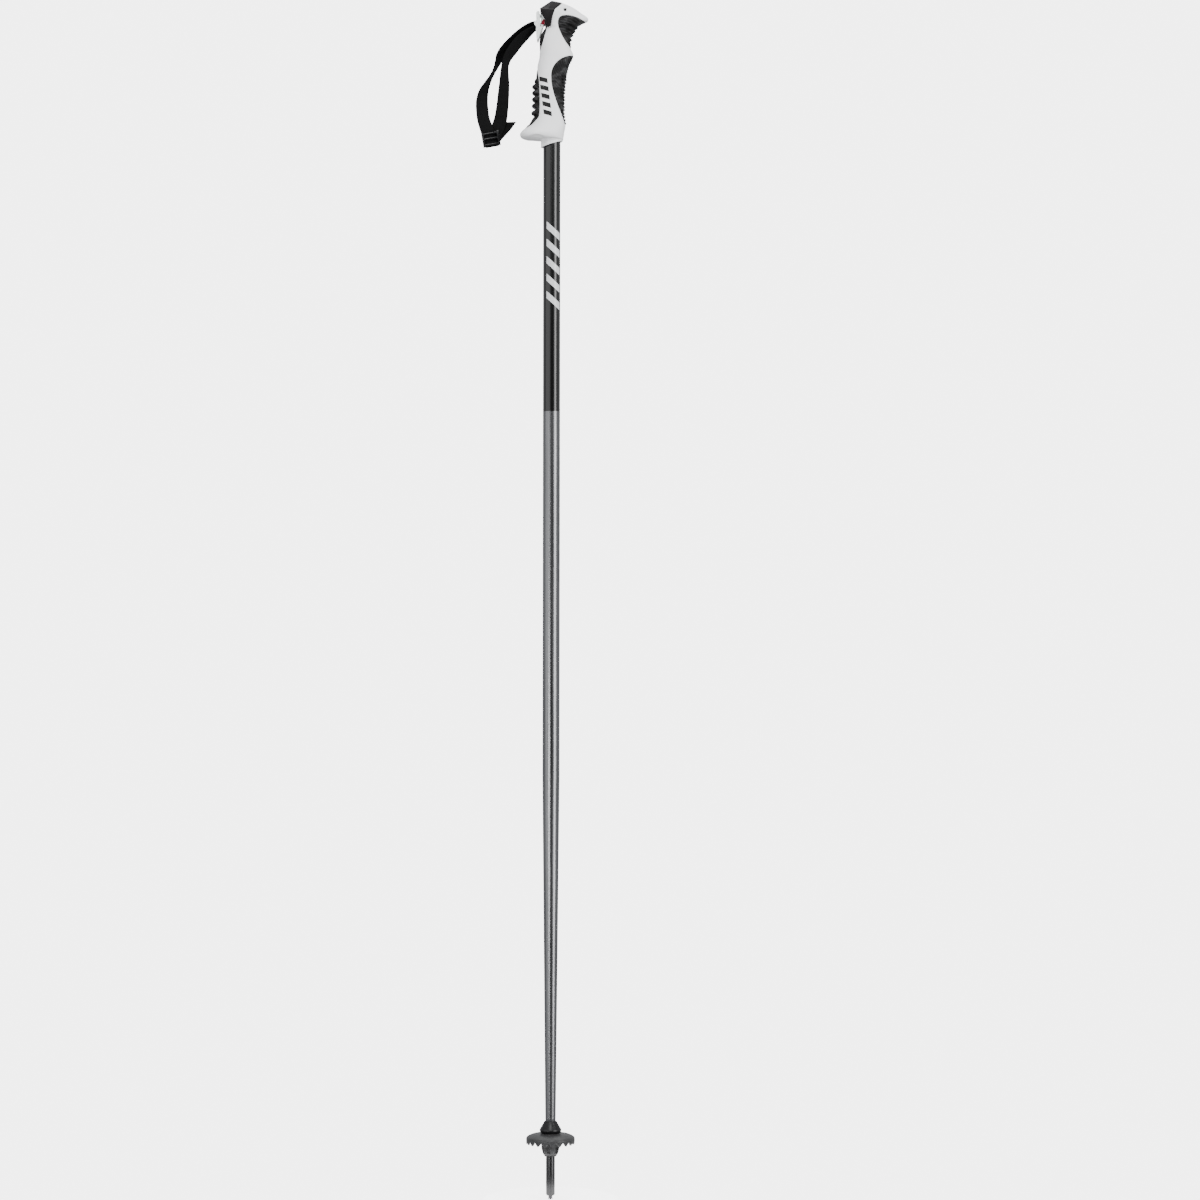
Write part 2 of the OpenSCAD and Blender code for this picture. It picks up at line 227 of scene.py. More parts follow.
def blend_colours(mat, factor, first, second):
    mix = add(mat, "Mix", data_type="RGBA")
    link(mat, factor, mix.inputs[0])
    for socket, colour in ((mix.inputs[6], first), (mix.inputs[7], second)):
        if isinstance(colour, tuple):
            socket.default_value = (*colour, 1)
        else:
            link(mat, colour, socket)
    return mix.outputs[2]


def bump(mat, height, strength, distance):
    made = add(mat, "Bump", Strength=strength, Distance=distance)
    link(mat, height, made.inputs["Height"])
    link(mat, made.outputs[0], shader_of(mat).inputs["Normal"])
    return made


def edge_wear(mat, worn, base, amount=0.5):
    """Lightens the sharp edges, where handling rubs the surface."""
    pointed = remap(mat, add(mat, "NewGeometry").outputs["Pointiness"], 0.52, 0.60, 0.0, amount)
    grain = remap(mat, noise(mat, 900, 2), 0.35, 0.65, 0.3, 1.0)
    link(mat, blend_colours(mat, math_node(mat, "MULTIPLY", pointed, grain), base, worn),
         shader_of(mat).inputs["Base Color"])


def moulded(name, colour, roughness, grain=0.25, coat=0.0, vary=0.12, worn=None, specular=0.5):
    """Moulded plastic: fine spark-eroded grain, slight tone changes, rubbed edges."""
    mat = material(name, colour, roughness, coat=coat, specular=specular)
    darker = tuple(c * (1 - vary) for c in colour)
    tone = blend_colours(mat, remap(mat, noise(mat, 70, 3), 0.35, 0.65, 0, 1), darker, colour)
    link(mat, remap(mat, noise(mat, 240, 4), 0.3, 0.7, roughness * 0.85, min(1, roughness * 1.2)),
         shader_of(mat).inputs["Roughness"])
    bump(mat, noise(mat, 2600, 2), grain, 0.00006)
    edge_wear(mat, worn or tuple(min(1, c * 1.35 + 0.015) for c in colour), tone)
    return mat


def shell_finish():
    """White moulded shell with plain slanted bars printed down both sides."""
    mat = moulded("grip_white_finish", (0.93, 0.93, 0.932), 0.4, grain=0.1, vary=0.02,
                  worn=(0.95, 0.95, 0.95), specular=0.25)
    base = shader_of(mat).inputs["Base Color"].links[0].from_socket
    split = add(mat, "SeparateXYZ")
    link(mat, coords(mat), split.inputs[0])
    x, y, z = split.outputs
    axis = math_node(mat, "MULTIPLY", math_node(mat, "SUBTRACT", z, TOP - 0.101), 0.128)
    aside = math_node(mat, "ADD", x, math_node(mat, "ADD", axis, 0.0065))
    across = math_node(mat, "LESS_THAN", math_node(mat, "ABSOLUTE", aside), 0.0042)
    lean = math_node(mat, "ADD", z, math_node(mat, "MULTIPLY", x, 0.30))
    low, pitch = TOP - 0.1225, 0.0083
    level = math_node(mat, "SUBTRACT", lean, low)
    bars = math_node(mat, "LESS_THAN", math_node(mat, "FRACT", math_node(mat, "DIVIDE", level, pitch)), 0.58)
    span = math_node(mat, "MULTIPLY", math_node(mat, "GREATER_THAN", level, 0.0),
                     math_node(mat, "LESS_THAN", level, pitch * 5))
    side = math_node(mat, "GREATER_THAN", math_node(mat, "ABSOLUTE", y), 0.006)
    mark = math_node(mat, "MULTIPLY", math_node(mat, "MULTIPLY", bars, span),
                     math_node(mat, "MULTIPLY", across, side))
    link(mat, blend_colours(mat, mark, base, (0.004, 0.004, 0.004)), shader_of(mat).inputs["Base Color"])
    return mat


def soft_rubber(name):
    """Soft rubber with a matt skin and smoother, shinier patches, which are also painted lighter as a painted
    highlight.
    """
    mat = material(name, (0.01, 0.01, 0.01), 0.6, specular=0.22)
    shiny_patches_and_painted_highlight = remap(mat, noise(mat, 110, 3, (1, 1, 1.8)), 0.45, 0.68, 0, 1)
    # painted highlight: the shinier patches are painted a lighter colour, as streaks of painted shine on top
    # of their lower roughness
    link(mat, blend_colours(mat, shiny_patches_and_painted_highlight, (0.0014, 0.0014, 0.0015), (0.036, 0.036, 0.037)),
         shader_of(mat).inputs["Base Color"])
    link(mat, remap(mat, shiny_patches_and_painted_highlight, 0, 1, 0.6, 0.28), shader_of(mat).inputs["Roughness"])
    bump(mat, noise(mat, 3200, 2), 0.35, 0.00008)
    return mat


def steel(name, colour=(0.05, 0.05, 0.052)):
    mat = material(name, colour, 0.3, metallic=1)
    link(mat, remap(mat, noise(mat, 900, 3, (1, 1, 0.1)), 0.3, 0.7, 0.2, 0.42),
         shader_of(mat).inputs["Roughness"])
    bump(mat, noise(mat, 3000, 2, (1, 1, 0.15)), 0.05, 0.00002)
    return mat


def shaft_finish():
    """Gloss black lacquer above, satin graphite below, with plain generic bars as decoration."""
    mat = material("shaft_finish", (0.2, 0.2, 0.2), 0.3, specular=0.5)
    split = add(mat, "SeparateXYZ")
    link(mat, coords(mat), split.inputs[0])
    x, y, z = split.outputs
    black = math_node(mat, "GREATER_THAN", z, COLOUR_SPLIT)
    # slanted bars on the front of the black part
    front = math_node(mat, "LESS_THAN", y, -0.0012)
    lean = math_node(mat, "ADD", z, math_node(mat, "MULTIPLY", x, 0.9))
    pitch, first, last = 0.0181, BARS_FROM, BARS_TO
    step = math_node(mat, "FRACT", math_node(mat, "DIVIDE", math_node(mat, "SUBTRACT", lean, first), pitch))
    bars = math_node(mat, "LESS_THAN", step, 0.42)
    inside = math_node(mat, "MULTIPLY", math_node(mat, "GREATER_THAN", lean, first),
                       math_node(mat, "LESS_THAN", lean, last))
    across = math_node(mat, "MULTIPLY", math_node(mat, "GREATER_THAN", x, -0.0052),
                       math_node(mat, "LESS_THAN", x, 0.0082))
    mark = math_node(mat, "MULTIPLY", math_node(mat, "MULTIPLY", bars, inside),
                     math_node(mat, "MULTIPLY", front, across))
    # thin dark dashes down the graphite part's side
    dash = math_node(mat, "LESS_THAN",
                     math_node(mat, "FRACT", math_node(mat, "DIVIDE", z, 0.0195)), 0.7)
    side = math_node(mat, "MULTIPLY", math_node(mat, "GREATER_THAN", x, 0.0078), front)
    span = math_node(mat, "MULTIPLY", math_node(mat, "GREATER_THAN", z, DASHES_FROM),
                     math_node(mat, "LESS_THAN", z, DASHES_TO))
    dashes = math_node(mat, "MULTIPLY", math_node(mat, "MULTIPLY", dash, side), span)
    grain = remap(mat, noise(mat, 420, 4, (1, 1, 0.02)), 0.3, 0.7, 0, 1)
    graphite = blend_colours(mat, grain, (0.125, 0.126, 0.130), (0.17, 0.171, 0.176))
    bare = math_node(mat, "LESS_THAN", z, BARE_ROD_TOP)
    tone = blend_colours(mat, bare, graphite, (0.045, 0.045, 0.046))
    tone = blend_colours(mat, dashes, tone, (0.05, 0.05, 0.052))
    tone = blend_colours(mat, black, tone, (0.002, 0.002, 0.002))
    tone = blend_colours(mat, mark, tone, (0.62, 0.63, 0.64))
    link(mat, tone, shader_of(mat).inputs["Base Color"])
    rough = math_node(mat, "SUBTRACT", remap(mat, grain, 0, 1, 0.23, 0.29),
                      math_node(mat, "MULTIPLY", black, 0.07))
    link(mat, rough, shader_of(mat).inputs["Roughness"])
    link(mat, math_node(mat, "SUBTRACT", 0.95, math_node(mat, "MULTIPLY", black, 0.95)),
         shader_of(mat).inputs["Metallic"])
    bump(mat, noise(mat, 900, 3, (1, 1, 0.03)), 0.02, 0.00001)
    return mat


def webbing_finish():
    """Black polyester webbing: a twill of crossing yarns, with denser selvedges; the valleys between the
    yarns get painted shade.
    """
    mat = material("webbing_finish", (0.003, 0.003, 0.003), 0.7, specular=0.07)
    split = add(mat, "SeparateXYZ")
    link(mat, coords(mat, "UV"), split.inputs[0])
    u, v = split.outputs[0], split.outputs[1]
    # u counts the warp yarns across the width, v the weft picks along the length
    ridge = math_node(mat, "ABSOLUTE", math_node(mat, "SINE", math_node(mat, "MULTIPLY", u, math.pi)))
    twill = math_node(mat, "ADD", math_node(mat, "MULTIPLY", u, 0.5), v)
    pick = math_node(mat, "ABSOLUTE", math_node(mat, "SINE", math_node(mat, "MULTIPLY", twill, math.pi)))
    yarn = math_node(mat, "MULTIPLY", ridge, pick)
    height = math_node(mat, "POWER", yarn, 0.6)
    # painted shade: the valleys between the yarns are painted darker and the yarn crowns lighter, on top of
    # the bump
    link(mat, blend_colours(mat, height, (0.0006, 0.0006, 0.0007), (0.0066, 0.0066, 0.0069)),
         shader_of(mat).inputs["Base Color"])
    bump(mat, height, 0.8, 0.00022)
    return mat


# ---------------------------------------------------------------- mesh helpers
def new_object(name, verts, faces, mat, smooth=True):
    mesh = bpy.data.meshes.new(name)
    mesh.from_pydata([tuple(v) for v in verts], [], faces)
    mesh.validate()
    bm = bmesh.new()
    bm.from_mesh(mesh)
    bmesh.ops.recalc_face_normals(bm, faces=bm.faces)
    bm.to_mesh(mesh)
    bm.free()
    if mat:
        mesh.materials.append(mat)
    for face in mesh.polygons:
        face.use_smooth = smooth
    obj = bpy.data.objects.new(name, mesh)
    bpy.context.collection.objects.link(obj)
    return obj


def apply_modifiers(obj):
    bpy.context.view_layer.update()
    graph = bpy.context.evaluated_depsgraph_get()
    mesh = bpy.data.meshes.new_from_object(obj.evaluated_get(graph))
    obj.modifiers.clear()
    old = obj.data
    obj.data = mesh
    bpy.data.meshes.remove(old)


def cut(obj, tool, operation="DIFFERENCE"):
    mod = obj.modifiers.new("cut", "BOOLEAN")
    mod.operation = operation
    mod.solver = "MANIFOLD"
    mod.object = tool
    apply_modifiers(obj)
    bpy.data.objects.remove(tool, do_unlink=True)


def bevel(obj, width, segments=3, angle=35):
    mod = obj.modifiers.new("bevel", "BEVEL")
    mod.width = width * MM
    mod.segments = segments
    mod.limit_method = "ANGLE"
    mod.angle_limit = math.radians(angle)
    mod.harden_normals = False
    apply_modifiers(obj)


def smooth_by_angle(obj, degrees=35):
    obj.data.set_sharp_from_angle(angle=math.radians(degrees))


def grid_faces(rows, columns, closed_columns=True, closed_rows=False):
    faces = []
    for r in range(rows if closed_rows else rows - 1):
        for c in range(columns if closed_columns else columns - 1):
            r2, c2 = (r + 1) % rows, (c + 1) % columns
            faces.append((r * columns + c, r * columns + c2, r2 * columns + c2, r2 * columns + c))
    return faces


def capped_tube(rings):
    """A closed skin over rings of the same length."""
    verts = [p for ring in rings for p in ring]
    n = len(rings[0])
    faces = grid_faces(len(rings), n)
    faces.append(tuple(range(n)))
    faces.append(tuple((len(rings) - 1) * n + k for k in range(n)))
    return verts, faces


def lathe(name, profile, mat, segments=96, shape=None):
    """Turns a closed profile of (radius, height) in mm about the shaft's axis."""
    rows = len(profile)
    verts = []
    for radius, height in profile:
        for k in range(segments):
            angle = 2 * math.pi * k / segments
            r, z = (radius, height) if shape is None else shape(radius, height, angle)
            verts.append((r * math.cos(angle) * MM, r * math.sin(angle) * MM, z * MM))
    return new_object(name, verts, grid_faces(rows, segments, closed_rows=True), mat)


def prism(name, outline, half, fall=0.0):
    """A side outline in mm (x, z from the grip's top) drawn across the pole from -half to half.
    It falls by that share of the distance from the middle."""
    across = (-half, 0, half) if fall else (-half, half)
    rings = [[(x * MM, y * MM, TOP + (z - fall * abs(y)) * MM) for x, z in outline] for y in across]
    verts, faces = capped_tube(rings)
    return new_object(name, verts, faces, None, False)


def curve_points(points, closed=False, steps=8):
    """Catmull-Rom through the points."""
    pts = [np.array(p, float) for p in points]
    n = len(pts)
    out = []
    for k in range(n if closed else n - 1):
        if closed:
            a, b, c, d = (pts[(k + j) % n] for j in (-1, 0, 1, 2))
        else:
            a, b, c, d = pts[max(k - 1, 0)], pts[k], pts[k + 1], pts[min(k + 2, n - 1)]
        for s in range(steps):
            t = s / steps
            out.append(0.5 * (2 * b + (c - a) * t + (2 * a - 5 * b + 4 * c - d) * t * t
                              + (3 * b - a - 3 * c + d) * t ** 3))
    if not closed:
        out.append(pts[-1])
    return out


# ---------------------------------------------------------------- the grip's form
# Height below the top, rear, front and half width, in mm
STATIONS = [
    (-0.5, -3.4, 2.6, 4.5), (-2.7, -5.6, 10.7, 8.5), (-8.0, -12.6, 23.0, 11.2),
    (-13.9, -10.9, 31.5, 12.2), (-17.4, -8.6, 36.6, 12.4), (-19.4, -7.3, 37.9, 12.5),
    (-21.2, -7.3, 37.4, 12.5), (-22.6, -7.2, 35.0, 12.5), (-25.0, -6.8, 29.4, 12.5),
    (-28.0, -7.0, 26.6, 12.6), (-31.6, -9.2, 24.0, 12.7), (-35.0, -11.4, 22.3, 12.9),
    (-38.4, -12.5, 20.4, 13.1), (-44.0, -13.0, 19.5, 13.3), (-50.0, -12.8, 19.8, 13.6),
    (-57.0, -12.9, 22.3, 14.0), (-68.1, -15.0, 17.7, 14.5),
    (-84.1, -16.6, 14.5, 15.0), (-100.1, -16.8, 13.1, 15.0), (-119.0, -17.6, 12.9, 15.0),
    (-128.9, -21.9, 14.4, 16.0), (-133.1, -27.6, 13.8, 18.2), (-136.7, -31.6, 13.0, 19.8),
    (-139.6, -33.3, 12.6, 20.4), (-142.4, -32.4, 12.1, 19.6), (-144.4, -28.0, 11.9, 17.5),
    (-145.0, -24.0, 11.9, 15.5)]
SQUARENESS = 0.86
FALL = 0.17        # the parting lines run this much lower on the grip's sides than at its middle


def slopes_of(x, y):
    """Slopes for a cubic that doesn't overshoot its points."""
    h, d = np.diff(x), np.diff(y) / np.diff(x)
    m = np.zeros(len(x))
    m[0], m[-1] = d[0], d[-1]
    for k in range(1, len(x) - 1):
        if d[k - 1] * d[k] > 0:
            w1, w2 = 2 * h[k] + h[k - 1], h[k] + 2 * h[k - 1]
            m[k] = (w1 + w2) / (w1 / d[k - 1] + w2 / d[k])
    return m


STATION_T = np.array([-s[0] for s in STATIONS])
STATION_CURVES = []
for column in (1, 2, 3):
    values = np.array([s[column] for s in STATIONS])
    STATION_CURVES.append((values, slopes_of(STATION_T, values)))


def section(z):
    """Rear, front and half width of the grip at a height below its top."""
    t = min(max(-z, STATION_T[0]), STATION_T[-1])
    k = min(int(np.searchsorted(STATION_T, t, side="right")) - 1, len(STATION_T) - 2)
    h = STATION_T[k + 1] - STATION_T[k]
    s = (t - STATION_T[k]) / h
    out = []
    for values, m in STATION_CURVES:
        out.append((2 * s ** 3 - 3 * s ** 2 + 1) * values[k] + (s ** 3 - 2 * s ** 2 + s) * h * m[k]
                   + (3 * s ** 2 - 2 * s ** 3) * values[k + 1] + (s ** 3 - s ** 2) * h * m[k + 1])
    return out


def grip_solid(name, z_from, z_to, step, count, relief=None, lift=0.0):
    """A closed length of the grip's form; relief(x, y, z) lifts its surface, all in mm."""
    heights = np.linspace(z_from, z_to, max(2, int(abs(z_to - z_from) / step) + 1))
    sizes = np.array([section(z) for z in heights])
    rear, front, half = (sizes[:, k:k + 1] for k in range(3))
    angles = 2 * math.pi * (np.arange(count) + 0.5) / count
    c, s = np.cos(angles), np.sin(angles)
    px = np.sign(c) * np.abs(c) ** SQUARENESS
    py = np.sign(s) * np.abs(s) ** SQUARENESS
    mid, rx = (front + rear) / 2, (front - rear) / 2
    z = np.repeat(heights[:, None], count, axis=1)
    x, y = mid + rx * px, half * py
    rise = lift + (relief(x, y, z) if relief else 0.0)
    x, y = mid + (rx + rise) * px, (half + rise) * py
    points = np.stack([x * MM, y * MM, TOP + z * MM], axis=-1)
    verts, faces = capped_tube([list(map(tuple, ring)) for ring in points])
    return new_object(name, verts, faces, None)


def outline_distance(outline, x, y, z):
    """How far points in the side view are from a closed outline, in mm."""
    z = z + FALL * np.abs(y)
    best = np.full(x.shape, 1e9)
    for k in range(len(outline)):
        (ax, az), (bx, bz) = outline[k - 1], outline[k]
        dx, dz = bx - ax, bz - az
        long2 = dx * dx + dz * dz
        if long2 < 1e-9:
            continue
        t = np.clip(((x - ax) * dx + (z - az) * dz) / long2, 0, 1)
        best = np.minimum(best, np.hypot(x - ax - t * dx, z - az - t * dz))
    return best


def step_up(v, low, high):
    t = np.clip((v - low) / (high - low), 0, 1)
    return t * t * (3 - 2 * t)


# Side outlines of the soft pads: the line on the grip, then corners well outside it
def closed_outline(line, outside):
    return [tuple(p) for p in curve_points(line, steps=6)] + list(outside)


INDEX = closed_outline([(33.2, -20.8), (27.3, -17.6), (19.8, -15.1), (12.4, -14.9), (8.1, -16.8),
                        (6.3, -21.3), (6.9, -27.1), (10.2, -35.2), (14.5, -42.6), (19.8, -49.6)],
                       [(40, -49.6), (40, -26), (36, -23.5)])
FINGER = closed_outline([(22.9, -57.3), (16.7, -57.3), (10.2, -59.7), (4.4, -64.4), (0.3, -71.4),
                         (-0.6, -79.9), (1.0, -91.6), (4.9, -104.3), (10.2, -118.2), (14.4, -129.5)],
                        [(30, -129.5), (30, -57.3)])
PALM = closed_outline([(-15.6, -70.4), (-13.4, -83.1), (-12.6, -95), (-12.5, -110), (-13.2, -119.6),
                       (-17.0, -124.6), (-22.3, -129.4), (-27.6, -133.2)],
                      [(-45, -133.2), (-45, -70.4)])
NECK = closed_outline([(-5.5, -26.2), (-5.8, -30.4), (-7.6, -37.0), (-9.8, -44.6), (-12.9, -53.6)],
                      [(-20, -53.6), (-20, -26.2)])
CAP = [(-0.4, 3), (10.7, 3), (10.7, -2.7), (3.3, -8.6), (0.7, -16.0), (-0.4, -23.5),
       (-1.0, -26.1), (-4.2, -27.4), (-8, -25.6), (-14, -24.0), (-20, -10), (-14, 3)]
SLOT = [(-3, -17.6), (-3, -5.5), (6, -5.2), (16.0, -6.6), (18.2, -8.9), (18.2, -13.3),
        (16.0, -15.5), (6, -17.6)]
WEB = [(3, -18.4), (-5.0, -18.4), (-6.9, -20.0), (-6.9, -23.2), (-5.0, -24.9), (3, -24.9)]
RIBS = (-84.6, -90.0, -96.4, -103.2, -110.0, -117.4)
CAP_TILT, CAP_STEP = 18, 2             # degrees: the cap's travel, and the steps that clear it
CAP_CLEAR = 0.15                       # mm between the tilted cap and the shell
SLIVER = 0.006                         # mm: corners closer than this are merged
CUT_PIECES = ("grip_shell_skin", "index_pad_skin", "finger_pad_skin", "palm_pad_skin",
              "neck_strip_skin", "head_cap_body")
CAP_AXIS, HOOK_AXIS, LINK_AXIS = (13.8, -11.1), (-3.65, -21.4), (-15.1, -24.7)


def seams(x, y, z):
    """A fine groove where a soft pad meets the shell."""
    near = np.minimum.reduce([outline_distance(o, x, y, z) for o in (INDEX, FINGER, PALM, NECK)])
    return -0.38 * np.exp(-(near / 0.42) ** 2)


def shell_relief(x, y, z):
    recess = -1.3 * np.exp(-((x + 1.2) / 3.6) ** 2 - ((z + 28.9) / 1.9) ** 2)
    scoop = np.hypot((x + 16) / 9.5, (z + 146) / 4.4)
    hollow = -3.0 * step_up(1 - scoop, 0.0, 0.22) * step_up(np.abs(y), 1.0, 5.0)
    seat = -0.55 * step_up(-np.hypot(x - CAP_AXIS[0], z - CAP_AXIS[1]), -2.3, -1.8)
    return seams(x, y, z) + recess + hollow + seat


def index_relief(x, y, z):
    arcs = np.hypot(x - 4, z + 62)
    inside = step_up(outline_distance(INDEX, x, y, z), 0.5, 1.8)
    front = step_up(x, 12, 19) * step_up(-z, 22, 27) * (1 - step_up(-z, 42, 47))
    steps = 0.8 * front * np.cos(2 * math.pi * (z + 0.5 * x) / 5.2)
    return seams(x, y, z) + 0.16 + 0.32 * inside * np.cos(2 * math.pi * arcs / 2.6) + steps


def finger_relief(x, y, z):
    arcs = np.hypot(x - 34, z + 60)
    inside = step_up(outline_distance(FINGER, x, y, z), 0.5, 1.8)
    fine = 0.28 * inside * np.cos(2 * math.pi * arcs / 2.3)
    dimple = -0.7 * np.exp(-((x - 4.9) / 0.8) ** 2 - ((z + 71.4) / 0.8) ** 2)
    front = step_up(x, 8, 12.5) * step_up(-z, 74, 84)
    bumps = 0.7 * front * np.cos(2 * math.pi * (z + 100) / 3.5)
    return seams(x, y, z) + 0.16 + fine + dimple + bumps


def palm_relief(x, y, z):
    back = 1 - step_up(np.abs(y), 6.2, 11.2)
    back = back * (1 - step_up(x, -14.6, -12.4))
    ribs = np.zeros(x.shape)
    for k, height in enumerate(RIBS):
        t = np.clip(np.abs(z - height) / 3.1, 0, 1)
        tall = 1.6 if k == 0 else 4.1
        ribs = np.maximum(ribs, tall * (0.5 + 0.5 * np.cos(math.pi * t)) ** 0.36)
    # below the ribs the pad runs out on to the hand rest as a wedge
    wedge = 1.7 * step_up(-z, 119.5, 124.0) * (1 - step_up(-z, 130.5, 133.0))
    return seams(x, y, z) + 0.05 + np.maximum(ribs, wedge) * back


def cylinder_across(name, at, radius, half):
    ring = [(at[0] + radius * math.cos(2 * math.pi * k / 48), at[1] + radius * math.sin(2 * math.pi * k / 48))
            for k in range(48)]
    return prism(name, ring, half)


def pad(name, outline, relief, mat, slot, low, high, step=0.5, count=220):
    obj = grip_solid(name, high, low, step, count, relief)
    cut(obj, prism("tool", outline, 30, FALL), "INTERSECT")
    finish_piece(obj, mat, "pole", slot, name)
    return obj


def drop_crumbs(obj):
    """Merges the slivers that the cuts leave, and keeps only the piece's main body."""
    bm = bmesh.new()
    bm.from_mesh(obj.data)
    bmesh.ops.remove_doubles(bm, verts=bm.verts, dist=SLIVER * MM)
    bmesh.ops.dissolve_degenerate(bm, edges=bm.edges, dist=SLIVER * MM)
    bm.faces.ensure_lookup_table()
    seen, bodies = set(), []
    for start in bm.faces:
        if start.index in seen:
            continue
        seen.add(start.index)
        body, queue = [], [start]
        while queue:
            face = queue.pop()
            body.append(face)
            for edge in face.edges:
                for other in edge.link_faces:
                    if other.index not in seen:
                        seen.add(other.index)
                        queue.append(other)
        bodies.append(body)
    bodies.sort(key=len)
    crumbs = [face for body in bodies[:-1] for face in body]
    bmesh.ops.delete(bm, geom=crumbs, context="FACES")
    bm.to_mesh(obj.data)
    bm.free()


def finish_piece(obj, mat, body, slot, *nodes, angle=35):
    if obj.name in CUT_PIECES:
        drop_crumbs(obj)
    obj.data.materials.clear()
    obj.data.materials.append(mat)
    for face in obj.data.polygons:
        face.use_smooth = True
        face.material_index = 0
    smooth_by_angle(obj, angle)
    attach(obj, body)
    if nodes:
        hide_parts(*nodes)


def slanted_block(name, corner, slope, size):
    """A block whose top face falls away from corner towards the rear."""
    x, z = corner
    dx, dz = math.cos(slope), math.sin(slope)
    outline = [(x + 40 * dx, z + 40 * dz), (x - 60 * dx, z - 60 * dz),
               (x - 60 * dx, z - 60 * dz - size), (x + 40 * dx, z + 40 * dz - size)]
    return prism(name, outline, 40)


def make_grip(white, rubber):
    shell = grip_solid("grip_shell_skin", -0.5, -145, 0.5, 220, shell_relief)
    cut(shell, lathe("tool", [(0.01, TOP_MM - 153), (11.42, TOP_MM - 153), (11.42, TOP_MM - 136),
                              (0.01, TOP_MM - 136)], None), "UNION")
    for outline in (INDEX, FINGER, PALM, NECK, CAP):
        cut(shell, prism("tool", outline, 30, FALL))
    cut(shell, prism("tool", SLOT, 4.9))
    cut(shell, prism("tool", WEB, 3.8), "UNION")
    cut(shell, slanted_block("tool", (14, -145.5), math.radians(17.5), 30))
    cut(shell, lathe("tool", [(0.01, 1000), (9.03, 1000), (9.03, TOP_MM - 57.6),
                              (0.01, TOP_MM - 57.6)], None))
    finish_piece(shell, white, "pole", "grip_white", "grip_shell")
    pad("index_pad_skin", INDEX, index_relief, rubber, "grip_rubber", -52, -12.5)
    pad("finger_pad_skin", FINGER, finger_relief, rubber, "grip_rubber", -132, -55)
    pad("palm_pad_skin", PALM, palm_relief, rubber, "grip_rubber", -136, -68)
    pad("neck_strip_skin", NECK, seams, rubber, "grip_rubber", -57, -25)
    return shell


def pad(name, outline, relief, mat, slot, low, high):
    obj = grip_solid(name, high, low, 0.5, 220, relief)
    cut(obj, prism("tool", outline, 30, FALL), "INTERSECT")
    finish_piece(obj, mat, "pole", slot, name.replace("_skin", ""))
    return obj


def clear_of_tilt(cap, shell):
    """Cuts from the cap's underside whatever would run into the shell as the cap tips up."""
    head = new_copy(shell, "head_of_shell")
    cut(head, prism("tool", [(-24, 4), (30, 4), (30, -32), (-24, -32)], 20), "INTERSECT")
    px, pz = CAP_AXIS[0] * MM, TOP + CAP_AXIS[1] * MM
    for degrees in range(CAP_STEP, CAP_TILT + CAP_STEP, CAP_STEP):
        turn = math.radians(-degrees)
        tool = new_copy(head, "tool")
        for vert in tool.data.vertices:
            x, z = vert.co.x - px, vert.co.z - pz
            vert.co.x = px + x * math.cos(turn) + z * math.sin(turn) - CAP_CLEAR * MM
            vert.co.z = pz - x * math.sin(turn) + z * math.cos(turn) + CAP_CLEAR * MM
        cut(cap, tool)
    bpy.data.objects.remove(head, do_unlink=True)


def new_copy(obj, name):
    copy = bpy.data.objects.new(name, obj.data.copy())
    bpy.context.collection.objects.link(copy)
    return copy


def make_head_cap(mat, shell):
    """The release cap: flat flanks, and bevelled faces that fall from its top to them."""
    full = [(-0.4, 0.0), (10.3, -2.1), (2.9, -8.5), (0.3, -15.9), (-0.8, -23.3), (-1.4, -25.9),
            (-4.2, -27.1), (-7.3, -24.0), (-7.3, -19.2), (-11.1, -12.8), (-12.6, -8.0)]
    flank = list(full)
    flank[0], flank[1] = (-3.2, -8.2), (2.6, -8.4)
    rings = []
    for y, outline, inset in ((-12.0, flank, 0.6), (-11.3, flank, 0), (-5.4, full, 0), (5.4, full, 0),
                              (11.3, flank, 0), (12.0, flank, 0.6)):
        mx, mz = -3.0, -14.0
        ring = []
        for x, z in outline:
            far = math.hypot(x - mx, z - mz)
            k = (far - inset) / far
            drop = FALL * abs(y) if abs(y) > 6 else 0.6
            ring.append(((mx + (x - mx) * k) * MM, y * MM, TOP + (mz + (z - mz) * k - drop) * MM))
        rings.append(ring)
    verts, faces = capped_tube(rings)
    cap = new_object("head_cap_body", verts, faces, None, smooth=False)
    bevel(cap, 0.45, 3, 12)
    cut(cap, prism("tool", [(-20, -11), (-7, -14.2), (-3.4, -17.8), (10, -17.8), (10, -40), (-20, -40)],
                   6.9))
    arm = prism("tool", [(-4, -8), (-4, -17.2), (2, -17.2), (13.8, -14.6), (13.8, -7.6), (4, -8.4)], 4.5)
    cut(cap, arm, "UNION")
    cut(cap, cylinder_across("tool", CAP_AXIS, 3.5, 4.5), "UNION")
    cut(cap, cylinder_across("tool", CAP_AXIS, 3.6, 1.9))
    cut(cap, cylinder_across("tool", CAP_AXIS, 1.57, 10))
    clear_of_tilt(cap, shell)
    finish_piece(cap, mat, "cap", "head_black", "head_cap", angle=25)


